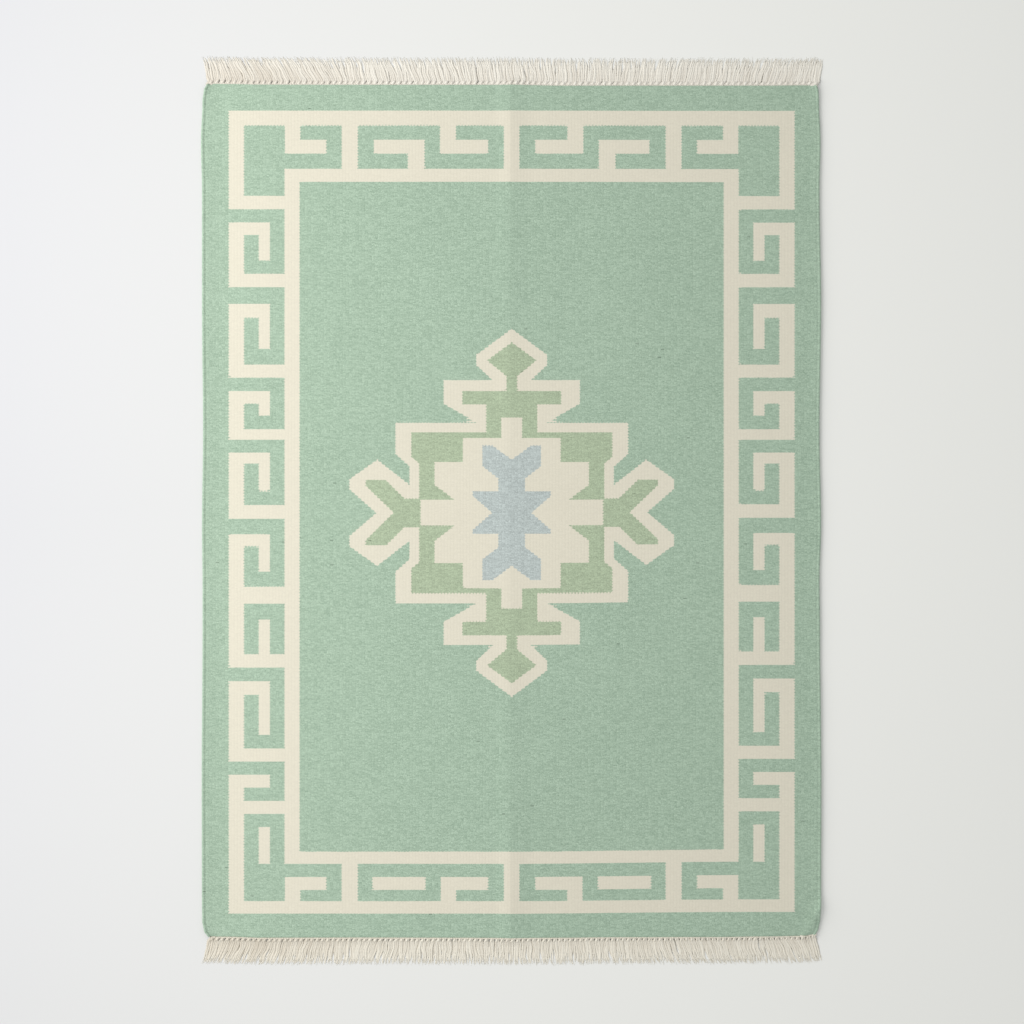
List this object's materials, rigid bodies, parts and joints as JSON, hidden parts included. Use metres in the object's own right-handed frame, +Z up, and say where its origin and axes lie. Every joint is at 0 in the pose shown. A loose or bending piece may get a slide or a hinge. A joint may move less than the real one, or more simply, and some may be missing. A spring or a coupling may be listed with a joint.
{
  "type": "flatweave rug",
  "caption": "Rectangular flatweave rug lying flat, with a stepped medallion, a hooked key border and short cream fringes at both ends, to lie loose on a floor.",
  "frame": {"origin": "middle of the rug's outline, fringes included, on the floor it lies on", "axes": "+X across the rug, +Y along it towards the top of its pattern, +Z up from the floor"},
  "size_m": [1.21, 1.769, 0.0083],
  "materials": {
    "woven_cotton": "matt weft-faced cotton flatweave, sage green with cream, olive and pale blue figures",
    "fringe_cotton": "matt undyed cotton yarn, loosely twisted, knotted at the cloth's edge"
  },
  "bodies": {
    "root": {"rug_body": "woven_cotton", "fringe_top": "fringe_cotton", "fringe_bottom": "fringe_cotton"}
  },
  "joints": []
}
